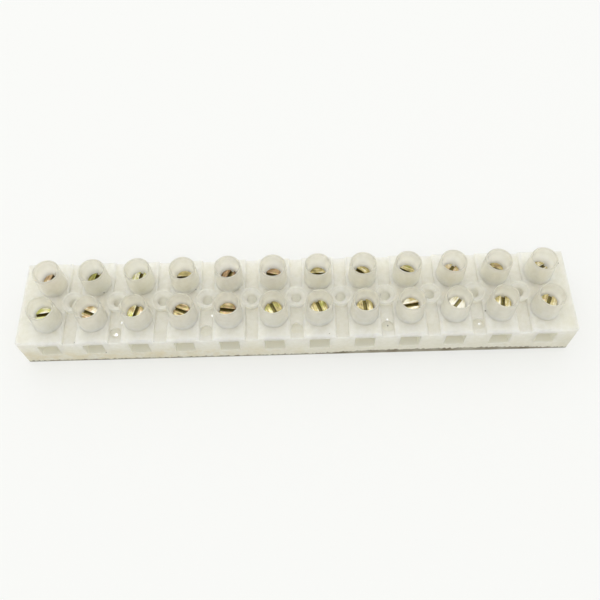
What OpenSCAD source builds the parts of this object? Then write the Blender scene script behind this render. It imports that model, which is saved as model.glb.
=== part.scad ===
// Screw terminal strip: one translucent moulding that holds a row of brass inserts.
// Each insert clamps one wire from the front and one from the back, under a slotted screw.
// Origin at the middle of the underside, +X along the strip, +Y to the back, +Z up.

/* [Strip] */
// Number of poles along the strip
poles = 12; // [2:1:16]
// Distance from one pole to the next
pitch = 10; // [9:0.5:14]
// Plastic from the middle of the last pole to the end face
end_margin = 6.6; // [5:0.1:10]
// Plastic under the wire passages
floor_t = 3.5; // [2:0.1:6]
// Plastic over the wire passages
roof_t = 1.5; // [1.3:0.1:3]
// Radius of the upright corners
corner_r = 0.5; // [0.2:0.1:1.5]
// Bevel along the top edges
edge_bevel = 0.3; // [0.1:0.05:0.6]

/* [Wire passages] */
// Width of a passage
entry_w = 4.4; // [3.6:0.1:5]
// Height of a passage
entry_h = 4.3; // [3.6:0.1:6]
// Depth of a passage in front of the insert
entry_depth = 3.4; // [2:0.1:6]

/* [Screw towers] */
// Distance between the front and the back row
row_gap = 9.1; // [8.5:0.1:11]
// Height of a tower above the shoulder
tower_h = 5.9; // [4:0.1:9]
// Wall of a tower at its rim
rim_wall = 0.35; // [0.25:0.05:0.6]
// Width that a tower gains on each side, from the rim down to the shoulder
tower_taper = 0.25; // [0:0.05:0.5]
// Depth of the funnel that leads a screwdriver in
funnel_h = 3.8; // [2:0.1:3.9]
// Width that the funnel gains on each side, up to the rim
funnel_flare = 0.5; // [0.1:0.05:0.8]

/* [Webs and fixing holes] */
// Width of a groove between two poles, at its floor
groove_w = 2.8; // [2:0.1:3.2]
// Depth of a groove below the shoulder
groove_h = 0.9; // [0.8:0.05:1.2]
// Radius of the shoulder's edges along a groove
shoulder_r = 0.7; // [0.2:0.05:0.75]
// Diameter of a fixing hole
fixing_d = 2.2; // [1.8:0.1:2.4]
// Diameter of the countersink at its mouth
sink_d = 4.4; // [3.8:0.1:4.6]
// Wall of the collar round the countersink
collar_wall = 0.35; // [0.25:0.05:0.5]
// Height of the collar above the shoulder
collar_rise = 0.15; // [0.05:0.05:0.4]

/* [Ejector marks] */
// Diameter of an ejector mark
mark_d = 2.6; // [1.5:0.1:3]
// Depth of an ejector mark
mark_h = 0.5; // [0.2:0.05:0.8]
// Distance from the front face to the middle of a mark
mark_inset = 2.6; // [1.8:0.1:3]
// Number of webs from one mark to the next
mark_step = 2; // [1:1:4]

/* [Brass inserts] */
// Distance from a screw to the nearer end of its insert
screw_inset = 2.25; // [1.8:0.05:4]
// Gap at each side of an insert in its passage
insert_side_gap = 0.1; // [0.05:0.01:0.2]
// Gap over an insert in its passage
insert_top_gap = 0.2; // [0.1:0.05:0.4]
// Thickness of the insert's sides
insert_wall = 0.55; // [0.4:0.05:0.8]
// Thickness of the insert's floor
insert_floor = 0.6; // [0.4:0.05:0.9]
// Thickness of the insert's tapped roof
insert_roof = 1; // [0.8:0.05:1.3]
// Diameter of a tapped hole
tapped_d = 3; // [2.5:0.1:3.2]

/* [Screws] */
// Diameter of a screw's head
head_d = 3.7; // [3.5:0.1:4.4]
// Height of a screw's head
head_h = 1.5; // [1.2:0.1:2.2]
// Bevel on the head's top edge
head_bevel = 0.2; // [0.1:0.05:0.35]
// Gap round a head in its well
head_gap = 0.25; // [0.1:0.05:0.3]
// Gap round a shank in its tapped hole
thread_gap = 0.05; // [0.03:0.01:0.1]
// Bevel at a shank's tip
tip_bevel = 0.3; // [0.1:0.05:0.5]
// Gap from a tip to the insert's floor when a screw is fully down
tip_gap = 0.2; // [0.1:0.05:0.5]
// Gap from a head to the insert's top when a screw is fully down
seat_gap = 0.65; // [0.2:0.05:1.2]
// Length of a front screw's shank below the insert's top
front_engaged = 0.95; // [0.7:0.05:1.2]
// Length of a back screw's shank below the insert's top
back_engaged = 2.05; // [0.7:0.05:2.6]
// Width of a screwdriver slot
slot_w = 0.9; // [0.6:0.05:1.2]
// Depth of a screwdriver slot
slot_h = 0.8; // [0.5:0.05:1]

/* [Hidden] */
$fn = 64;
// Length by which a cut runs past the face that it opens
over = 1;
// Directions in which the screws were left, in degrees from +X
front_turns = [10, -25, 75, -25, -10, -65, -70, -85, 10, 50, 80, 65];
back_turns = [75, 75, 80, 0, 65, -15, 0, -40, -30, 60, -20, 30];

row_y = row_gap / 2;
insert_l = row_gap + 2 * screw_inset;
body_l = (poles - 1) * pitch + 2 * end_margin;
body_w = insert_l + 2 * entry_depth;
body_h = floor_t + entry_h + roof_t;
web_h = body_h - groove_h;
shoulder_edge = min(shoulder_r, groove_h);

insert_w = entry_w - 2 * insert_side_gap;
insert_h = entry_h - insert_top_gap;
insert_top = floor_t + insert_h;
channel_w = insert_w - 2 * insert_wall;
channel_h = insert_h - insert_floor - insert_roof;

head_r = head_d / 2;
well_r = head_r + head_gap;
shank_r = tapped_d / 2 - thread_gap;
shank_l = seat_gap + insert_roof + channel_h - tip_gap;

mouth_r = well_r + funnel_flare;
rim_r = mouth_r + rim_wall;
rim_z = body_h + tower_h;
// Radius of the rim's two rounded edges, which leave a narrow flat between them
lip_r = 0.43 * rim_wall;

collar_r = sink_d / 2 + collar_wall;
collar_top = body_h + collar_rise;
sink_h = (sink_d - fixing_d) / 2;

milky = [0.88, 0.87, 0.8];
brass = [0.78, 0.64, 0.34];
screw_brass = [0.8, 0.69, 0.36];

pole_list = [1:poles];
web_list = [1:poles - 1];
marked_webs = [for (i = web_list) if (i % mark_step == 0) i];

// Name of a repeated piece, counted from the left with two digits
function numbered(name, i) = str(name, i < 10 ? "_0" : "_", i);

// Place of a pole, and of the web to its right, along the strip
function pole_x(i) = (i - (poles + 1) / 2) * pitch;
function web_x(i) = pole_x(i) + pitch / 2;

// Block with upright round corners, standing on the ground
module rounded_block(l, w, h, r) {
    translate([-l / 2 + r, -w / 2, 0])
        cube([l - 2 * r, w, h]);
    translate([-l / 2, -w / 2 + r, 0])
        cube([l, w - 2 * r, h]);
    for (sx = [-1, 1], sy = [-1, 1])
        translate([sx * (l / 2 - r), sy * (w / 2 - r), 0])
            cylinder(r = r, h = h);
}

// Bar that takes the bevel off one long edge, centred on that edge
module bevel_bar(l) {
    rotate([45, 0, 0])
        cube([l + 2 * over, edge_bevel * sqrt(2), edge_bevel * sqrt(2)], center = true);
}

module body_block() {
    difference() {
        rounded_block(body_l, body_w, body_h, corner_r);
        for (side = [-1, 1]) {
            translate([0, side * body_w / 2, body_h])
                bevel_bar(body_l);
            translate([side * body_l / 2, 0, body_h])
                rotate([0, 0, 90])
                    bevel_bar(body_w);
        }
    }
}

// Groove across the strip with its floor at the web's height, and round shoulders above it
module groove() {
    half = groove_w / 2;
    translate([0, body_w / 2 + over, web_h])
        rotate([90, 0, 0])
            linear_extrude(body_w + 2 * over) {
                translate([-half, 0])
                    square([groove_w, groove_h + over]);
                difference() {
                    translate([-half - shoulder_edge, groove_h - shoulder_edge])
                        square([groove_w + 2 * shoulder_edge, shoulder_edge + over]);
                    for (side = [-1, 1])
                        translate([side * (half + shoulder_edge), groove_h - shoulder_edge])
                            circle(r = shoulder_edge);
                }
            }
}

// Tapered tower, solid, with a round outer edge; it starts at the web's height inside its pole
module tower() {
    slope = tower_taper / tower_h;
    rotate_extrude() {
        polygon([
            [0, web_h],
            [rim_r + tower_taper + slope * groove_h, web_h],
            [rim_r, rim_z - lip_r],
            [0, rim_z - lip_r]
        ]);
        translate([0, rim_z - lip_r])
            square([rim_r - lip_r, lip_r]);
        translate([rim_r - lip_r, rim_z - lip_r])
            circle(r = lip_r);
    }
}

// Room for a screw's head, from the passage up through the tower's round-edged mouth
module screw_well() {
    rotate_extrude() {
        polygon([
            [0, insert_top],
            [well_r, insert_top],
            [well_r, rim_z - funnel_h],
            [mouth_r, rim_z - lip_r],
            [0, rim_z - lip_r]
        ]);
        difference() {
            translate([0, rim_z - lip_r])
                square([mouth_r + lip_r, lip_r + over]);
            translate([mouth_r + lip_r, rim_z - lip_r])
                circle(r = lip_r);
        }
    }
}

// Screw hole right through the web, with a countersink in its collar
module fixing_hole() {
    translate([0, 0, -over])
        cylinder(d = fixing_d, h = collar_top + 2 * over);
    rotate_extrude()
        polygon([
            [0, collar_top - sink_h],
            [fixing_d / 2, collar_top - sink_h],
            [sink_d / 2, collar_top],
            [sink_d / 2, collar_top + over],
            [0, collar_top + over]
        ]);
}

module wire_passage() {
    translate([-entry_w / 2, -body_w / 2 - over, floor_t])
        cube([entry_w, body_w + 2 * over, entry_h]);
}

module housing() {
    color(milky)
        difference() {
            union() {
                difference() {
                    body_block();
                    for (i = web_list)
                        translate([web_x(i), 0, 0])
                            groove();
                }
                for (i = web_list)
                    translate([web_x(i), 0, floor_t])
                        cylinder(r = collar_r, h = collar_top - floor_t);
                for (i = pole_list, side = [-1, 1])
                    translate([pole_x(i), side * row_y, 0])
                        tower();
            }
            for (i = pole_list) {
                translate([pole_x(i), 0, 0])
                    wire_passage();
                for (side = [-1, 1])
                    translate([pole_x(i), side * row_y, 0])
                        screw_well();
            }
            for (i = web_list)
                translate([web_x(i), 0, 0])
                    fixing_hole();
            for (i = marked_webs)
                translate([web_x(i), mark_inset - body_w / 2, web_h - mark_h])
                    cylinder(d = mark_d, h = mark_h + over);
        }
}

// Brass insert with a square wire channel and two tapped holes
module terminal(i) {
    color(brass)
        translate([pole_x(i), 0, floor_t])
            difference() {
                translate([-insert_w / 2, -insert_l / 2, 0])
                    cube([insert_w, insert_l, insert_h]);
                translate([-channel_w / 2, -insert_l / 2 - over, insert_floor])
                    cube([channel_w, insert_l + 2 * over, channel_h]);
                for (side = [-1, 1])
                    translate([0, side * row_y, insert_floor + channel_h / 2])
                        cylinder(d = tapped_d, h = insert_h);
            }
}

// Slotted cheese-head screw at the middle of a tower, with a length of its shank in the insert
module clamp_screw(i, side, engaged, turn) {
    tip_z = insert_top - engaged;
    head_z = tip_z + shank_l;
    head_top = head_z + head_h;
    color(screw_brass)
        translate([pole_x(i), side * row_y, 0])
            difference() {
                rotate_extrude()
                    polygon([
                        [0, tip_z],
                        [shank_r - tip_bevel, tip_z],
                        [shank_r, tip_z + tip_bevel],
                        [shank_r, head_z],
                        [head_r, head_z],
                        [head_r, head_top - head_bevel],
                        [head_r - head_bevel, head_top],
                        [0, head_top]
                    ]);
                rotate([0, 0, turn])
                    translate([-head_r - over, -slot_w / 2, head_top - slot_h])
                        cube([2 * (head_r + over), slot_w, slot_h + over]);
            }
}

module screw_front(i) {
    clamp_screw(i, -1, front_engaged, front_turns[(i - 1) % len(front_turns)]);
}

module screw_back(i) {
    clamp_screw(i, 1, back_engaged, back_turns[(i - 1) % len(back_turns)]);
}

housing();
for (i = pole_list) {
    terminal(i);
    screw_front(i);
    screw_back(i);
}
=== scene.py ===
"""Looks of the screw terminal strip: milky moulding, brass inserts and slotted brass screws."""
import math

import bmesh
import bpy
from mathutils import Matrix, Vector


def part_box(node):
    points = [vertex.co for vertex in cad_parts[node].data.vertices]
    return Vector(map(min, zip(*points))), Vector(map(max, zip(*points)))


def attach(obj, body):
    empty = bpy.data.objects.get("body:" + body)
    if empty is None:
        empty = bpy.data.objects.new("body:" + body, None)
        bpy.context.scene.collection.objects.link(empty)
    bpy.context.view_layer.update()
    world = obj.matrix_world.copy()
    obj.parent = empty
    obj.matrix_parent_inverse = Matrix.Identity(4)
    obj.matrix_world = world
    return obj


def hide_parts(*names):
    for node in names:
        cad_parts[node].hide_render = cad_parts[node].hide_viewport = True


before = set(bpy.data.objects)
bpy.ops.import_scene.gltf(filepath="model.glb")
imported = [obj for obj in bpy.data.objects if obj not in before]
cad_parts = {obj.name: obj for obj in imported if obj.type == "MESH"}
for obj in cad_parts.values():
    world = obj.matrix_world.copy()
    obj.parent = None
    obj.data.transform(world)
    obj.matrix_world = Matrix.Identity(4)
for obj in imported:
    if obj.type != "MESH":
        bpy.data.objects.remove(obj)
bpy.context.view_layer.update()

MM = 0.001
WHITE = (1, 1, 1, 1)

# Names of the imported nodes
POLES = sum(1 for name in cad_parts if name.startswith("terminal_"))
TERMINALS = [f"terminal_{i:02d}" for i in range(1, POLES + 1)]
SCREWS = [f"screw_{side}_{i:02d}" for side in ("front", "back") for i in range(1, POLES + 1)]

# Half the strip's length and width, and its height, in millimetres
HALF_L, HALF_W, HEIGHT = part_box("housing")[1] / MM

# Places on the housing that its box doesn't give, in millimetres: heights of the webs' tops and of the
# ejector marks' floors, and limits to each side of the middle line that hold the marks and the fixing holes
WEB_TOP = 8.4
MARK_FLOOR = 7.9
MARKS_OUT = 9.5
HOLES_OUT = 1.5

# Camera of the photograph: place in millimetres from the middle of the underside, angles in degrees, lens
# and sensor in millimetres, and the nearest and farthest that it sees in metres
CAMERA_PLACE = (0.84, -76.75, 147.27)
CAMERA_DOWN = 61.25
CAMERA_ROLL = -1.52
CAMERA_LENS = 42.23
CAMERA_SENSOR = 36.0
CAMERA_NEAREST = 0.01
CAMERA_FARTHEST = 20.0

# Light: the world's strength overhead and at each side, and the lamp's power in watts, place and size in
# millimetres
WORLD_TOP = 0.84
WORLD_BACK = 0.62
WORLD_FRONT = 0.45
WORLD_LEFT = 0.7
WORLD_RIGHT = 0.48
KEY_POWER = 0.1
KEY_PLACE = (-80, 220, 400)
KEY_SIZE = 300

# Floor: its width in metres, the paper's own colour, the even tone of the background, and that tone's share
# in what is seen beside the strip and under it
FLOOR_SIZE = 4.0
FLOOR_COLOR = (0.93, 0.935, 0.915, 1)
BACKGROUND = (0.925, 0.93, 0.905, 1)
FLOOR_EVEN = 0.6
UNDER_EVEN = 0.48

# Plastic by height in millimetres, from the sides up over the shoulders to the towers' lips: tint, and the
# share of light that goes straight through. The tint is painted shade towards the bottom, near the floor;
# painted light in the band from 8.6 to 9.1 mm, on the webs' step walls and the front face's top edge; and
# painted shade on the lips, which face the light
PLASTIC = (
    (0.0, (0.87, 0.845, 0.73, 0.5)), (7.2, (0.94, 0.928, 0.85, 0.5)),
    (7.8, (0.893, 0.885, 0.825, 0.22)), (8.45, (0.893, 0.885, 0.825, 0.22)),
    (8.6, (0.96, 0.955, 0.895, 0.25)), (9.1, (0.96, 0.955, 0.895, 0.25)),
    (9.25, (0.885, 0.882, 0.815, 0.22)), (9.4, (0.89, 0.885, 0.815, 0.22)),
    (10.8, (0.92, 0.905, 0.785, 0.2)), (12.8, (0.92, 0.897, 0.785, 0.5)),
    (14.7, (0.92, 0.90, 0.80, 0.55)), (15.1, (0.80, 0.78, 0.67, 0.6)))

# Ranges of noise that are spread to the whole of a share: where most of it lies, and a narrower one that
# makes patches stand out
NOISE_MOST = (0.3, 0.7)
NOISE_MIDDLE = (0.35, 0.65)

# Plastic's texture: sizes of its clouds, mottles, ripples and grain in millimetres, strengths and depths in
# millimetres of the ripples and the grain, and the rounding of its edges in millimetres
CLOUD_SIZE = 6.0
MOTTLE_SIZE = 1.0
RIPPLE_SIZE = 2.2
GRAIN_SIZE = 0.35
RIPPLE_BUMP = (0.35, 0.05)
GRAIN_BUMP = (0.25, 0.01)
EDGE_ROUND = 0.3

# Plastic's shader: how far light scatters in millimetres, the shares of that for red, green and blue, the
# range of roughness, and the index of refraction
SCATTER = 4.0
SCATTER_SHARES = (1.0, 0.97, 0.88)
PLASTIC_ROUGH = (0.62, 0.78)
PLASTIC_IOR = 1.51

# Tints of cloudy places; of the screws' wells low down, paler as painted light where the deep wells fall
# into shade; and of the wire passages' walls, darker as painted shade inside the passages
CLOUD_TINT = (0.985, 0.978, 0.955, 1)
MOTTLE_TINT = (0.935, 0.93, 0.90, 1)
WELL_LIGHT_TINT = (1.0, 0.978, 0.86, 1)
PASSAGE_SHADE_TINT = (0.82, 0.80, 0.68, 1)

# What the wells keep of the share that goes straight through, and the shares through the walls of the wire
# passages and of the fixing holes
WELL_CLEAR = 0.1
PASSAGE_CLEAR = 0.7
HOLE_CLEAR = 0.92

# The wells' reach from their screws' axes, the heights between which their look starts, and those between
# which it fades towards the lips, in millimetres
WELL_REACH = 2.4
WELL_START = (7.5, 8.0)
WELL_FADE = (14.3, 12.5)

# Tints of the strip's ends, greyer; of the ejector marks' floors, darker as painted shade in these recesses;
# of the webs' tops towards the front, darker and bluer; and of the brown stains low on the left of the front
# face;
# the stains' size in millimetres and their range of noise
END_TINT = (0.93, 0.925, 0.91, 1)
MARK_SHADE_TINT = (0.965, 0.962, 0.95, 1)
WEB_TINT = (0.905, 0.905, 0.91, 1)
STAIN_TINT = (0.93, 0.87, 0.75, 1)
STAIN_SIZE = 2.2
STAIN_NOISE = (0.38, 0.62)

# Dark ragged line along the bottom front edge, painted shadow of the gap that the real strip's bowed middle
# leaves over the floor, in millimetres: its height where thin and where thick, the thick part's ends along X
# and how long it tapers there, and how far it is ragged and at what size; then its colour, and the share of
# that where it is faint, in patches with a size and a range of noise of their own
LINE_THIN = 0.65
LINE_THICK = 1.6
LINE_FROM = 3.0
LINE_TO = 60.0
LINE_TAPER = 14.0
LINE_RAGGED = 0.6
LINE_RAG_SIZE = 1.2
GAP_SHADOW_COLOR = (0.12, 0.095, 0.05, 1)
LINE_FAINT = 0.65
LINE_PATCH_SIZE = 6.0
LINE_PATCH_NOISE = (0.35, 0.6)

# Marks on the plastic, in millimetres: place, the way they face, and size
UP = (0, 0, 1)
# The last of these is painted shade: a dark speck that stands for a nick at the corner of the second wire
# passage
DIRT = (
    ((-43.21, 1.93, 9.73), (0.59, -0.8, 0.04), 0.34), ((-22.63, 2.35, 9.3), UP, 0.3),
    ((60.13, 6.81, 9.3), UP, 0.34), ((41.73, -4.94, 9.19), (-0.53, 0, 0.85), 0.34),
    ((20.09, -7.34, 7.9), UP, 0.36), ((7.05, -9.6, 9.3), UP, 0.2),
    ((-48.77, -9.68, 8.4), UP, 0.22), ((-42.95, -9.95, 3.5), UP, 0.4))
# Painted glints: white mirror patches that stand for highlights on glossy spots of the plastic
PAINTED_GLINTS = (
    ((-38.75, -5.12, 8.4), UP, 0.75), ((-40.05, -7.8, 7.9), UP, 1.15), ((-18.74, -3.95, 8.4), UP, 0.7),
    ((20.7, 2.25, 9.45), UP, 0.28), ((31.15, 2.08, 9.45), UP, 0.3), ((40.38, -7.5, 7.9), UP, 0.7),
    ((20.12, -6.06, 8.4), UP, 0.6), ((31.4, 0.76, 8.86), (-0.63, -0.31, 0.71), 0.5),
    ((18.75, 2.05, 9.45), UP, 0.34))
# Corners of a mark as shares of half its size, its height over the plastic at the rim and its rise to the
# middle, in millimetres
MARK_OUTLINE = (1.0, 0.72, 0.9, 0.55, 0.85, 1.0, 0.6, 0.8, 0.95)
MARK_LIFT = 0.006
MARK_RISE = 0.04
# Pairs of colours of the marks, and the size in millimetres of the blotches that they make
DIRT_COLORS = ((0.05, 0.045, 0.035, 1), (0.13, 0.12, 0.09, 1))
GLINT_COLORS = ((0.97, 0.97, 0.96, 1), WHITE)
BLOTCH_SIZE = 0.15

# Screw sizes in millimetres that the frame's boxes don't give
HEAD_H = 1.5
HEAD_ROUND = 0.2
SLOT_W = 0.72
SLOT_H = 0.8
SLOT_ROUND = 0.06
THREAD_R = 1.45
THREAD_DEPTH = 0.24
THREAD_PITCH = 0.5
TIP_BEVEL = 0.3

# Steps of the screw's mesh: along a lobe's arc, across a slot's end, round a lobe's edge and down one turn
# of thread
ARC_STEPS = 26
SLOT_END_STEPS = 6
ROUND_STEPS = 4
TURN_STEPS = 8
# Faces of a screw that meet at a larger angle, in degrees, keep a sharp edge
SHARP_ANGLE = 35
# How near a CAD vertex has to be to a height, in metres, to lie on it
LEVEL_SLACK = 1e-6

# Colours of the inserts' brass, of the screws' heads and of their slots; pink and green multiply the gold;
# the cream is a painted reflection on the brightest heads, and the slots' colours are painted shade on their
# walls and painted light on their floors
BRASS_COLORS = ((0.82, 0.68, 0.38, 1), (0.7, 0.56, 0.3, 1))
HEAD_DARK = (0.13, 0.10, 0.045, 1)
HEAD_GOLD = (0.72, 0.62, 0.30, 1)
HEAD_PINK = (0.97, 0.79, 0.98, 1)
HEAD_GREEN = (0.90, 1.06, 0.66, 1)
HEAD_REFLECTION_CREAM = (1.0, 0.975, 0.87, 1)
SLOT_SHADE = (0.2, 0.17, 0.065, 1)
SLOT_FLOOR_LIT = (0.45, 0.40, 0.19, 1)

# Tones of a head: how far streaks and patches shift its brightness and the range of their summed noise, the
# tone at which it is all gold, and those between which the gold turns to the cream of a painted reflection
TONE_SHIFT = 0.46
TONE_NOISE = (0.7, 1.3)
TONE_GOLD = 0.75
TONE_REFLECTION = (0.72, 1.15)
# Noise above which a stain shows on a head, for a share of 0 and of 1, and how soft the stain's rim is
RIM_LEVELS = (0.8, 0.2)
RIM_SOFT = 0.1

# Metal textures in millimetres: the inserts' drawn lines and stains, then the heads' streaks, patches, pink
# stains, green stains, scratches and dents
DRAWN_SIZE = 0.12
BRASS_STAIN_SIZE = 1.5
STREAK_SIZE = 0.3
PATCH_SIZE = 1.3
PINK_SIZE = 1.1
GREEN_SIZE = 1.7
SCRATCH_SIZE = 0.08
DENT_SIZE = 1.1
# Strengths and depths in millimetres of the drawn lines, the scratches and the dents
DRAWN_BUMP = (0.3, 0.01)
SCRATCH_BUMP = (0.3, 0.01)
DENT_BUMP = (0.6, 0.15)
# The insert stains' range of noise, ranges of roughness, and factors on the axes that make the drawn lines
# and the streaks long
BRASS_STAIN_NOISE = (0.35, 0.7)
BRASS_ROUGH = (0.22, 0.38)
HEAD_ROUGH = (0.2, 0.36)
DRAWN_SQUEEZE = (1.0, 0.04, 1.0)
STREAK_SQUEEZE = (0.1, 1.0, 1.0)

# Looks of each screw from left to right, about 0 to 1: how bright its head is, a painted reflection at its
# top, its shares of pink and of green stain, and how much painted light its slot's floor takes
FRONT_LOOKS = (
    (0.84, 0.05, 0.7, 0.0), (0.83, 0.5, 0.0, 0.0), (0.77, 0.35, 0.35, 0.0), (0.55, 0.45, 0.1, 0.0),
    (0.56, 0.5, 0.0, 0.0), (0.68, 0.05, 0.38, 0.0), (0.69, 0.2, 0.42, 0.0), (0.52, 0.15, 0.1, 0.0),
    (1.03, 0.25, 0.0, 0.3), (1.2, 0.0, 0.0, 0.4), (0.8, 0.1, 0.0, 0.0), (0.65, 0.35, 0.0, 0.0))
BACK_LOOKS = (
    (0.72, 0.7, 0.0, 0.0), (0.3, 0.0, 0.62, 0.0), (0.87, 0.0, 0.7, 0.0), (0.74, 0.2, 0.1, 0.1),
    (0.27, 0.8, 0.0, 0.0), (0.35, 0.7, 0.0, 0.2), (0.6, 0.2, 0.15, 0.5), (0.71, 0.1, 0.0, 0.1),
    (0.65, 0.0, 0.3, 0.0), (0.72, 0.5, 0.0, 0.0), (0.52, 0.3, 0.0, 0.0), (0.68, 0.1, 0.1, 0.1))
LOOKS = dict(zip(SCREWS, FRONT_LOOKS + BACK_LOOKS))


# Shader nodes

def feed(tree, node, inputs):
    """Links each input of a node to a socket, or sets it to a value."""
    for key, value in inputs.items():
        if isinstance(value, bpy.types.NodeSocket):
            tree.links.new(value, node.inputs[key])
        else:
            node.inputs[key].default_value = value


def add_node(tree, kind, inputs=None, **settings):
    """A node with its settings made and its inputs fed."""
    made = tree.nodes.new(kind)
    for name, value in settings.items():
        setattr(made, name, value)
    feed(tree, made, inputs or {})
    return made


def empty_tree(owner):
    """The node tree of a material or a world, with nothing in it."""
    owner.use_nodes = True
    owner.node_tree.nodes.clear()
    return owner.node_tree


def new_material(name):
    """A node material, its tree and its Principled shader."""
    material = bpy.data.materials.new(name)
    tree = empty_tree(material)
    shader = add_node(tree, "ShaderNodeBsdfPrincipled")
    add_node(tree, "ShaderNodeOutputMaterial", {"Surface": shader.outputs[0]})
    return material, tree, shader


def object_coords(tree):
    """Coordinates of the object that the material is on."""
    return add_node(tree, "ShaderNodeTexCoord").outputs["Object"]


def split(tree, coords):
    """X, Y and Z of some coordinates."""
    return add_node(tree, "ShaderNodeSeparateXYZ", {0: coords}).outputs


def squeezed(tree, coords, scale):
    """The coordinates with each axis scaled by its own factor."""
    return add_node(tree, "ShaderNodeMapping", {"Vector": coords, "Scale": scale}).outputs[0]


def calc(tree, operation, first, *others):
    """A value from a Math node; with more than two values, two at a time from the left."""
    if not others:
        return add_node(tree, "ShaderNodeMath", {0: first}, operation=operation).outputs[0]
    for other in others:
        first = add_node(tree, "ShaderNodeMath", {0: first, 1: other}, operation=operation).outputs[0]
    return first


def spread(tree, value, low, high, to_low=0.0, to_high=1.0):
    """The value taken from one range to another, and clamped there."""
    inputs = {"Value": value, "From Min": low, "From Max": high, "To Min": to_low, "To Max": to_high}
    return add_node(tree, "ShaderNodeMapRange", inputs).outputs[0]


def slope(tree, place, start, end):
    """0 before one place and 1 past another, both in millimetres."""
    return spread(tree, place, start * MM, end * MM)


def within(tree, place, low, high, soft):
    """1 between two places and 0 outside them, with a soft step inside each, all in millimetres."""
    away = calc(tree, "ABSOLUTE", calc(tree, "SUBTRACT", place, (low + high) / 2 * MM))
    half = (high - low) / 2
    return slope(tree, away, half, half - soft)


def noise_of(tree, coords, size, detail=3.0, roughness=0.5):
    """Noise with lumps of about a size in millimetres, as one value."""
    inputs = {"Vector": coords, "Scale": 1 / (size * MM), "Detail": detail, "Roughness": roughness}
    return add_node(tree, "ShaderNodeTexNoise", inputs).outputs[0]


def mixed(tree, share, first, second):
    """A colour between two colours, by a share from 0 to 1."""
    return add_node(tree, "ShaderNodeMix", {0: share, 6: first, 7: second}, data_type="RGBA").outputs[2]


def tinted(tree, color, tint):
    """The colour times a tint."""
    inputs = {0: 1.0, 6: color, 7: tint}
    return add_node(tree, "ShaderNodeMix", inputs, data_type="RGBA", blend_type="MULTIPLY").outputs[2]


def bumped(tree, height, bump, normal=None):
    """A normal roughened by a height, with a bump's strength and its depth in millimetres."""
    strength, depth = bump
    inputs = {"Height": height, "Strength": strength, "Distance": depth * MM}
    if normal is not None:
        inputs["Normal"] = normal
    return add_node(tree, "ShaderNodeBump", inputs).outputs[0]


# Milky plastic

def milky_plastic():
    """Translucent natural polyethylene with cloudy flow marks, brown stains, a fine satin skin, and painted
    light and shade.
    """
    material, tree, shader = new_material("milky_plastic")
    coords = object_coords(tree)
    grain = noise_of(tree, coords, GRAIN_SIZE, detail=4.0)
    level_tint, level_clear = at_height(tree, coords)
    passage = passage_share(tree, coords)
    well = well_share(tree, coords)
    # Painted light: the wells' walls paler low down
    pale = mixed(tree, well, clouded(tree, coords, level_tint), WELL_LIGHT_TINT)
    # Painted shade: the wire passages' walls darker
    stain_and_shade = mixed(tree, passage, stained_and_shaded(tree, coords, pale), PASSAGE_SHADE_TINT)
    shader.subsurface_method = "RANDOM_WALK"
    feed(tree, shader, {
        # Painted shadow along the bottom front edge
        "Base Color": mixed(tree, gap_shadow_share(tree, coords), stain_and_shade, GAP_SHADOW_COLOR),
        "Roughness": spread(tree, grain, *NOISE_MOST, *PLASTIC_ROUGH),
        "Normal": satin_skin(tree, coords, grain),
        "Subsurface Weight": 1.0,
        "Subsurface Radius": SCATTER_SHARES,
        "Subsurface Scale": SCATTER * MM,
        "Transmission Weight": clearness(tree, coords, level_clear, well, passage),
        "IOR": PLASTIC_IOR})
    return material


def at_height(tree, coords):
    """The plastic's tint at each height, painted shade and light included, and the share of light that goes
    straight through.
    """
    height = spread(tree, split(tree, coords)["Z"], 0.0, HEIGHT * MM)
    made = add_node(tree, "ShaderNodeValToRGB", {0: height})
    stops = made.color_ramp.elements
    while len(stops) < len(PLASTIC):
        stops.new(1.0)
    for stop, (level, look) in zip(stops, PLASTIC):
        stop.position = level / HEIGHT
        stop.color = look
    return made.outputs


def clouded(tree, coords, tint):
    """The tint with large and small cloudy places."""
    cloud = spread(tree, noise_of(tree, coords, CLOUD_SIZE), *NOISE_MOST)
    mottle = spread(tree, noise_of(tree, coords, MOTTLE_SIZE, detail=4.0, roughness=0.6), *NOISE_MIDDLE)
    tint = tinted(tree, tint, mixed(tree, cloud, WHITE, CLOUD_TINT))
    return tinted(tree, tint, mixed(tree, mottle, WHITE, MOTTLE_TINT))


def satin_skin(tree, coords, grain):
    """The plastic's normal, with rounded edges, soft ripples and a fine grain."""
    edges = add_node(tree, "ShaderNodeBevel", {"Radius": EDGE_ROUND * MM}, samples=6).outputs[0]
    ripple = noise_of(tree, coords, RIPPLE_SIZE, detail=2.0)
    waves = bumped(tree, ripple, RIPPLE_BUMP, edges)
    return bumped(tree, grain, GRAIN_BUMP, waves)


def clearness(tree, coords, level_clear, well, passage):
    """Share of light that goes straight through: little in wells, much in passages and holes, all inside."""
    milky = spread(tree, well, 0.0, 1.0, 1.0, WELL_CLEAR)
    return calc(tree, "MAXIMUM",
                calc(tree, "MULTIPLY", level_clear, milky),
                calc(tree, "MULTIPLY", passage, PASSAGE_CLEAR),
                calc(tree, "MULTIPLY", hole_share(tree, coords), HOLE_CLEAR),
                add_node(tree, "ShaderNodeNewGeometry").outputs["Backfacing"])


def hole_share(tree, coords):
    """1 on the walls of the fixing holes below their countersinks, 0 elsewhere on the outside."""
    x, y, z = split(tree, coords)
    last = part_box(TERMINALS[-1])[1].x / MM
    return calc(tree, "MULTIPLY", within(tree, x, -last, last, soft=0.1),
                within(tree, y, -HOLES_OUT, HOLES_OUT, soft=0.2), within(tree, z, 0.2, WEB_TOP, soft=0.4))


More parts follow.
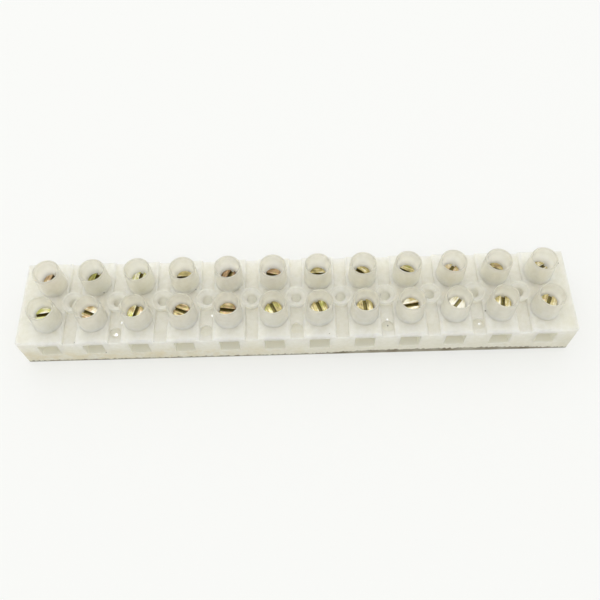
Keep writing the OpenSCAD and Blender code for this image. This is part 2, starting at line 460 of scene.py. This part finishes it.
def passage_share(tree, coords):
    """1 on the walls of the wire passages in front of the inserts, 0 elsewhere."""
    x, y, z = split(tree, coords)
    low, high = (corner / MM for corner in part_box(TERMINALS[0]))
    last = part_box(TERMINALS[-1])[1].x / MM + 1.0
    return calc(tree, "MULTIPLY", within(tree, x, -last, last, soft=0.1),
                within(tree, calc(tree, "ABSOLUTE", y), high.y - 0.3, HALF_W - 0.05, soft=0.2),
                within(tree, z, low.z - 0.05, high.z + 0.25, soft=0.04))


def well_share(tree, coords):
    """1 low on the walls of the screws' wells, 0 near the lips and outside."""
    x, y, z = split(tree, coords)
    low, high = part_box(SCREWS[0])
    axis = (low + high) / 2
    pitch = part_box(SCREWS[1])[0].x - low.x
    aside = calc(tree, "PINGPONG", calc(tree, "SUBTRACT", x, axis.x), pitch / 2)
    ahead = calc(tree, "SUBTRACT", calc(tree, "ABSOLUTE", y), abs(axis.y))
    flat = add_node(tree, "ShaderNodeCombineXYZ", {"X": aside, "Y": ahead}).outputs[0]
    away = add_node(tree, "ShaderNodeVectorMath", {0: flat}, operation="LENGTH").outputs["Value"]
    near = slope(tree, away, WELL_REACH + 0.05, WELL_REACH - 0.05)
    return calc(tree, "MULTIPLY", near, slope(tree, z, *WELL_START), slope(tree, z, *WELL_FADE))


def gap_shadow_share(tree, coords):
    """Share of painted shadow on the dark ragged line along the bottom front edge, from the gap under the
    bowed strip; 0 elsewhere.
    """
    x, y, z = split(tree, coords)
    along = add_node(tree, "ShaderNodeCombineXYZ", {"X": x}).outputs[0]
    rags = noise_of(tree, along, LINE_RAG_SIZE, detail=5.0, roughness=0.7)
    ragged = spread(tree, rags, *NOISE_MOST, -LINE_RAGGED * MM, LINE_RAGGED * MM)
    patches = noise_of(tree, along, LINE_PATCH_SIZE, detail=2.0)
    thick = within(tree, x, LINE_FROM, LINE_TO, soft=LINE_TAPER)
    tall = spread(tree, thick, 0.0, 1.0, LINE_THIN * MM, LINE_THICK * MM)
    below = calc(tree, "SUBTRACT", calc(tree, "ADD", tall, ragged), z)
    front = slope(tree, y, -HALF_W + 0.1, -HALF_W + 0.05)
    return calc(tree, "MULTIPLY", slope(tree, below, 0.0, 0.25), front,
                spread(tree, patches, *LINE_PATCH_NOISE, LINE_FAINT, 1.0))


def stained_and_shaded(tree, coords, tint):
    """The tint with greyer ends, painted shade on the ejector marks' floors, darker bluer web fronts, and
    brown stains on the front face.
    """
    x, y, z = split(tree, coords)
    stains_and_shades = ((end_share(tree, x), END_TINT), (mark_share(tree, y, z), MARK_SHADE_TINT),
            (web_share(tree, y, z), WEB_TINT), (brown_share(tree, coords), STAIN_TINT))
    for share, stain_and_shade in stains_and_shades:
        tint = mixed(tree, share, tint, tinted(tree, tint, stain_and_shade))
    return tint


def end_share(tree, x):
    """1 at the strip's two ends, 0 between them."""
    return slope(tree, calc(tree, "ABSOLUTE", x), HALF_L - 3.5, HALF_L - 1.5)


def mark_share(tree, y, z):
    """1 at the height of the ejector marks' floors, 0 elsewhere and on the outer faces."""
    inner = slope(tree, calc(tree, "ABSOLUTE", y), MARKS_OUT + 0.1, MARKS_OUT - 0.1)
    return calc(tree, "MULTIPLY", inner, within(tree, z, MARK_FLOOR - 0.2, MARK_FLOOR + 0.2, soft=0.1))


def web_share(tree, y, z):
    """1 on the webs' tops at their front ends, less farther back, 0 elsewhere and on the front face."""
    forward = slope(tree, y, -6.0, -9.5)
    behind_face = slope(tree, y, -HALF_W + 0.02, -HALF_W + 0.1)
    return calc(tree, "MULTIPLY", forward, behind_face,
                within(tree, z, WEB_TOP - 0.2, WEB_TOP + 0.15, soft=0.1))


def brown_share(tree, coords):
    """Patches low on the front face, more of them to the left."""
    x, y, z = split(tree, coords)
    patches = spread(tree, noise_of(tree, coords, STAIN_SIZE, detail=5.0, roughness=0.65), *STAIN_NOISE)
    front = slope(tree, y, -HALF_W + 0.5, -HALF_W + 0.1)
    return calc(tree, "MULTIPLY", front, slope(tree, x, 20, -20), slope(tree, z, 6, 3), patches)


# Brass

def insert_brass():
    """Drawn brass with fine lines along the wire's way."""
    material, tree, shader = new_material("insert_brass")
    coords = object_coords(tree)
    lines = noise_of(tree, squeezed(tree, coords, DRAWN_SQUEEZE), DRAWN_SIZE)
    stain = spread(tree, noise_of(tree, coords, BRASS_STAIN_SIZE), *BRASS_STAIN_NOISE)
    feed(tree, shader, {
        "Base Color": mixed(tree, stain, *BRASS_COLORS),
        "Roughness": spread(tree, lines, *NOISE_MOST, *BRASS_ROUGH),
        "Normal": bumped(tree, lines, DRAWN_BUMP),
        "Metallic": 1.0})
    return material


def screw_brass():
    """Yellow plated screws: streaked khaki gold with green and pink stains, a cream painted reflection where
    brightest, and slots with painted shade on their walls and painted light on their floors.
    """
    material, tree, shader = new_material("screw_brass")
    coords = object_coords(tree)
    info = add_node(tree, "ShaderNodeObjectInfo").outputs
    chance = info["Random"]
    offset = add_node(tree, "ShaderNodeCombineXYZ", {"X": chance, "Y": chance, "Z": chance}).outputs[0]
    own = add_node(tree, "ShaderNodeVectorMath", {0: coords, 1: offset}, operation="ADD").outputs[0]
    face = face_color(tree, own, info["Color"])
    slot = slot_color(tree, coords, info["Alpha"])
    scratches = noise_of(tree, own, SCRATCH_SIZE, detail=4.0)
    dents = bumped(tree, noise_of(tree, own, DENT_SIZE, detail=2.0), DENT_BUMP)
    feed(tree, shader, {
        "Base Color": mixed(tree, slot_share(tree, coords), face, slot),
        "Roughness": spread(tree, scratches, *NOISE_MOST, *HEAD_ROUGH),
        "Normal": bumped(tree, scratches, SCRATCH_BUMP, dents),
        "Metallic": 1.0})
    return material


def face_color(tree, own, look):
    """Colour of a screw outside its slot, from the brightness, pink and green that its look holds; its
    brightest tones turn to a cream painted reflection.
    """
    bright, pink, green = add_node(tree, "ShaderNodeSeparateColor", {0: look}).outputs
    streaks = noise_of(tree, squeezed(tree, own, STREAK_SQUEEZE), STREAK_SIZE, detail=2.0)
    both = calc(tree, "ADD", streaks, noise_of(tree, own, PATCH_SIZE))
    tone = calc(tree, "ADD", spread(tree, both, *TONE_NOISE, -TONE_SHIFT, TONE_SHIFT), bright)
    gold = mixed(tree, spread(tree, tone, 0.0, TONE_GOLD), HEAD_DARK, HEAD_GOLD)
    pinkish = stain_share(tree, noise_of(tree, own, PINK_SIZE, detail=4.0), pink)
    greenish = stain_share(tree, noise_of(tree, own, GREEN_SIZE, detail=2.0), green)
    stained = mixed(tree, pinkish, gold, tinted(tree, gold, HEAD_PINK))
    stained = mixed(tree, greenish, stained, tinted(tree, gold, HEAD_GREEN))
    return mixed(tree, spread(tree, tone, *TONE_REFLECTION), stained, HEAD_REFLECTION_CREAM)


def stain_share(tree, noise, share):
    """Soft-edged patches from noise that cover about the given share of a surface."""
    level = spread(tree, share, 0.0, 1.0, *RIM_LEVELS)
    return spread(tree, calc(tree, "SUBTRACT", noise, level), -RIM_SOFT, RIM_SOFT)


def slot_color(tree, coords, light):
    """Colour of a screw's slot: painted shade on its walls, and painted light on its floor by a share."""
    floor = slope(tree, split(tree, coords)["Z"], -(SLOT_H - 0.12), -(SLOT_H - 0.04))
    return mixed(tree, calc(tree, "MULTIPLY", light, floor), SLOT_SHADE, SLOT_FLOOR_LIT)


def slot_share(tree, coords):
    """1 inside a screw's slot and 0 on the rest of it; the slot runs along the screw's own X axis."""
    y, z = split(tree, coords)[1:]
    between = slope(tree, calc(tree, "ABSOLUTE", y), SLOT_W / 2 + 0.03, SLOT_W / 2 + 0.01)
    deep = slope(tree, z, -0.04, -0.2)
    above_floor = slope(tree, z, -(SLOT_H + 0.05), -(SLOT_H + 0.02))
    return calc(tree, "MULTIPLY", between, deep, above_floor)


# Marks and floor

def mark_paint(name, colors, roughness, gloss):
    """Blotchy paint for the marks on the plastic, from dull dirt to mirror-like painted glints."""
    material, tree, shader = new_material(name)
    blotches = spread(tree, noise_of(tree, object_coords(tree), BLOTCH_SIZE), *NOISE_MIDDLE)
    feed(tree, shader, {
        "Base Color": mixed(tree, blotches, *colors), "Roughness": roughness, "Metallic": gloss})
    return material


def seen_directly(tree):
    """1 for rays from the camera, and for those that come by way of metal or glass."""
    path = add_node(tree, "ShaderNodeLightPath").outputs
    return calc(tree, "MAXIMUM", path["Is Camera Ray"], path["Is Glossy Ray"], path["Is Transmission Ray"])


def even_share(tree):
    """Share of the even tone on the floor, less under the strip than beside it."""
    x, y = split(tree, object_coords(tree))[:2]
    past_end = calc(tree, "SUBTRACT", calc(tree, "ABSOLUTE", x), HALF_L * MM)
    past_side = calc(tree, "SUBTRACT", calc(tree, "ABSOLUTE", y), HALF_W * MM)
    past = calc(tree, "MAXIMUM", past_end, past_side)
    return spread(tree, past, -0.3 * MM, 0.1 * MM, UNDER_EVEN, FLOOR_EVEN)


def floor_paper():
    """Plain pale floor that looks even beside the strip, and keeps part of its shadow."""
    material = bpy.data.materials.new("floor_paper")
    tree = empty_tree(material)
    paper = add_node(tree, "ShaderNodeBsdfDiffuse", {"Color": FLOOR_COLOR})
    glow = add_node(tree, "ShaderNodeEmission", {"Color": BACKGROUND, "Strength": 1.0})
    share = calc(tree, "MULTIPLY", seen_directly(tree), even_share(tree))
    both = add_node(tree, "ShaderNodeMixShader", {0: share, 1: paper.outputs[0], 2: glow.outputs[0]})
    add_node(tree, "ShaderNodeOutputMaterial", {"Surface": both.outputs[0]})
    return material


# Meshes

def ring(bm, radius, angles, z):
    """Vertices about the Z axis at some angles; a negative radius puts them on the other side."""
    return [bm.verts.new((radius * math.cos(a), radius * math.sin(a), z)) for a in angles]


def join_loops(bm, lower, upper):
    """Quads between two closed loops of as many vertices."""
    count = len(lower)
    for k in range(count):
        bm.faces.new((lower[k], lower[(k + 1) % count], upper[(k + 1) % count], upper[k]))


def lobe_angles(radius, half_slot):
    """Angles along the arc of a head's lobe, from one end of the slot to the other."""
    edge = math.asin(half_slot / radius)
    return [edge + (math.pi - 2 * edge) * k / ARC_STEPS for k in range(ARC_STEPS + 1)]


def slot_end_angles(radius, half_slot):
    """Angles across a slot's end, without those of the lobes' corners."""
    edge = math.asin(half_slot / radius)
    return [-edge + 2 * edge * k / SLOT_END_STEPS for k in range(1, SLOT_END_STEPS)]


def add_head(bm, radius, bottom, top):
    """Slotted head as one skin, open at its underside; returns the loop there."""
    end = slot_end_angles(radius, SLOT_W / 2)
    lobe = lobe_angles(radius, SLOT_W / 2)
    angles = end + lobe + [a + math.pi for a in end + lobe]
    low = ring(bm, radius, angles, bottom)
    floor = ring(bm, radius, angles, top - SLOT_H)
    join_loops(bm, low, floor)
    half, ends = len(floor) // 2, len(end)
    near, far = floor[:half], floor[half:]
    bm.faces.new(near[:ends] + [near[ends], near[-1]] + far[:ends] + [far[ends], far[-1]])
    add_lobe(bm, near[ends:], 1, radius, top)
    add_lobe(bm, far[ends:], -1, radius, top)
    return low


def add_lobe(bm, base, side, radius, top):
    """A head's lobe on side 1 or -1, from its loop at the slot's floor to a rounded edge and a flat top."""
    loop = base
    for step in range(ROUND_STEPS + 1):
        turn = math.pi / 2 * step / ROUND_STEPS
        inset = HEAD_ROUND * (1 - math.cos(turn))
        half_slot = SLOT_W / 2 + SLOT_ROUND * (1 - math.cos(turn))
        reach = radius - inset
        z = top - HEAD_ROUND * (1 - math.sin(turn))
        upper = ring(bm, side * reach, lobe_angles(reach, half_slot), z)
        join_loops(bm, loop, upper)
        loop = upper
    bm.faces.new(loop)


def add_thread(bm, top_loop, top, tip):
    """Threaded shank from the head's underside down to the tip."""
    angles = [math.atan2(v.co.y, v.co.x) for v in top_loop]
    steps = int((top - tip) / THREAD_PITCH * TURN_STEPS)
    loop = top_loop
    for step in range(steps + 1):
        z = top - (top - tip) * step / steps
        limit = THREAD_R - max(0.0, TIP_BEVEL - (z - tip))
        lower = []
        for angle in angles:
            phase = (z / THREAD_PITCH - angle / (2 * math.pi)) % 1.0
            r = min(THREAD_R - THREAD_DEPTH * abs(2 * phase - 1), limit)
            lower.append(bm.verts.new((r * math.cos(angle), r * math.sin(angle), z)))
        join_loops(bm, lower, loop)
        loop = lower
    bm.faces.new(list(reversed(loop)))


def mesh_of(bm, name, material):
    """A mesh with one material from a bmesh, which is freed."""
    mesh = bpy.data.meshes.new(name)
    bm.to_mesh(mesh)
    bm.free()
    mesh.materials.append(material)
    return mesh


def screw_mesh(head_r, length, material):
    """Slotted screw on the Z axis, its slot along X and its head's top at height 0; takes millimetres."""
    bm = bmesh.new()
    underside = add_head(bm, head_r, -HEAD_H, 0.0)
    add_thread(bm, underside, -HEAD_H, -length)
    bmesh.ops.recalc_face_normals(bm, faces=bm.faces)
    bmesh.ops.scale(bm, vec=(MM, MM, MM), verts=bm.verts)
    mesh = mesh_of(bm, "slotted_screw", material)
    for face in mesh.polygons:
        face.use_smooth = True
    mesh.set_sharp_from_angle(angle=math.radians(SHARP_ANGLE))
    return mesh


def add_mark(bm, place, way, size, first):
    """A low dome on a surface; its outline starts at another of the outline's corners."""
    count = len(MARK_OUTLINE)
    normal = Vector(way).normalized()
    across = normal.orthogonal().normalized()
    along = normal.cross(across)
    foot = Vector(place) + normal * MARK_LIFT
    rim = []
    for k in range(count):
        angle = 2 * math.pi * k / count
        reach = size / 2 * MARK_OUTLINE[(k + first) % count]
        corner = foot + reach * (math.cos(angle) * across + math.sin(angle) * along)
        rim.append(bm.verts.new(corner * MM))
    top = bm.verts.new((foot + normal * MARK_RISE) * MM)
    for k in range(count):
        bm.faces.new((rim[k], rim[(k + 1) % count], top))


# Pieces and studio

def add_object(name, data):
    """A new object in the scene."""
    made = bpy.data.objects.new(name, data)
    bpy.context.scene.collection.objects.link(made)
    return made


def finish_node(name, material):
    """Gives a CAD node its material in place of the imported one."""
    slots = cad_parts[name].data.materials
    slots.clear()
    slots.append(material)


def slot_turn(name, low, high):
    """Direction of a CAD screw's slot, from the vertices on the slot's floor."""
    level = high.z - SLOT_H * MM
    middle = (low + high) / 2
    corners = [v.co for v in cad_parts[name].data.vertices]
    points = [corner - middle for corner in corners if abs(corner.z - level) < LEVEL_SLACK]
    xx = sum(p.x * p.x for p in points)
    yy = sum(p.y * p.y for p in points)
    xy = sum(p.x * p.y for p in points)
    return 0.5 * math.atan2(2 * xy, xx - yy)


def place_screws(material):
    """One detailed screw in place of each CAD screw."""
    low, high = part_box(SCREWS[0])
    mesh = screw_mesh((high.x - low.x) / 2 / MM, (high.z - low.z) / MM, material)
    for name in SCREWS:
        low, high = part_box(name)
        screw = add_object(name.replace("screw", "slotted_screw"), mesh)
        top = Vector(((low.x + high.x) / 2, (low.y + high.y) / 2, high.z))
        screw.matrix_world = Matrix.Translation(top) @ Matrix.Rotation(slot_turn(name, low, high), 4, "Z")
        screw.color = LOOKS[name]
        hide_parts(name)
        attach(screw, name)


def place_marks(name, marks, material):
    """Small irregular low domes on the housing, as one piece."""
    bm = bmesh.new()
    for first, (place, way, size) in enumerate(marks):
        add_mark(bm, place, way, size, first)
    piece = add_object(name, mesh_of(bm, name, material))
    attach(piece, "strip")


def place_floor(material):
    """Wide floor under the strip."""
    bpy.ops.mesh.primitive_plane_add(size=FLOOR_SIZE, location=(0, 0, 0))
    floor = bpy.context.object
    floor.name = "floor"
    floor.data.materials.append(material)


def place_camera():
    """Camera at the photograph's angle."""
    down, roll = math.radians(CAMERA_DOWN), math.radians(CAMERA_ROLL)
    ahead = Vector((0, math.cos(down), -math.sin(down)))
    right = Vector((1, 0, 0))
    up = right.cross(ahead)
    turned_right = math.cos(roll) * right + math.sin(roll) * up
    turned_up = math.cos(roll) * up - math.sin(roll) * right
    axes = Matrix((turned_right, turned_up, -ahead)).transposed().to_4x4()
    camera = add_object("camera", bpy.data.cameras.new("camera"))
    camera.matrix_world = Matrix.Translation(Vector(CAMERA_PLACE) * MM) @ axes
    camera.data.lens = CAMERA_LENS
    camera.data.sensor_width = CAMERA_SENSOR
    camera.data.clip_start = CAMERA_NEAREST
    camera.data.clip_end = CAMERA_FARTHEST
    bpy.context.scene.camera = camera


def place_world():
    """Pale surroundings, each side with a strength of its own."""
    world = bpy.data.worlds.new("studio")
    bpy.context.scene.world = world
    tree = empty_tree(world)
    way = split(tree, add_node(tree, "ShaderNodeTexCoord").outputs["Generated"])
    sides = (("Z", 1.0, WORLD_TOP), ("X", -1.0, WORLD_LEFT), ("X", 1.0, WORLD_RIGHT),
             ("Y", 1.0, WORLD_BACK), ("Y", -1.0, WORLD_FRONT))
    parts = [spread(tree, way[axis], 0.0, end, 0.0, strength) for axis, end, strength in sides]
    around = add_node(tree, "ShaderNodeBackground", {"Color": WHITE, "Strength": calc(tree, "ADD", *parts)})
    seen = add_node(tree, "ShaderNodeBackground", {"Color": BACKGROUND, "Strength": 1.0})
    camera_ray = add_node(tree, "ShaderNodeLightPath").outputs["Is Camera Ray"]
    both = add_node(tree, "ShaderNodeMixShader", {0: camera_ray, 1: around.outputs[0], 2: seen.outputs[0]})
    add_node(tree, "ShaderNodeOutputWorld", {"Surface": both.outputs[0]})


def place_key():
    """One large soft lamp above and behind."""
    lamp = bpy.data.lights.new("key", "AREA")
    lamp.size = KEY_SIZE * MM
    lamp.energy = KEY_POWER
    key = add_object("key", lamp)
    key.location = Vector(KEY_PLACE) * MM
    key.rotation_euler = (-key.location).to_track_quat("-Z", "Y").to_euler()


finish_node("housing", milky_plastic())
brass = insert_brass()
for terminal in TERMINALS:
    finish_node(terminal, brass)
place_screws(screw_brass())
place_marks("dirt_specks", DIRT, mark_paint("dirt", DIRT_COLORS, roughness=0.8, gloss=0.0))
# Painted glints as mirror patches on the plastic
place_marks("shiny_spots", PAINTED_GLINTS, mark_paint("glint_paint", GLINT_COLORS, roughness=0.2, gloss=1.0))
place_floor(floor_paper())
place_world()
place_key()
place_camera()

bpy.context.scene.view_settings.view_transform = "Standard"
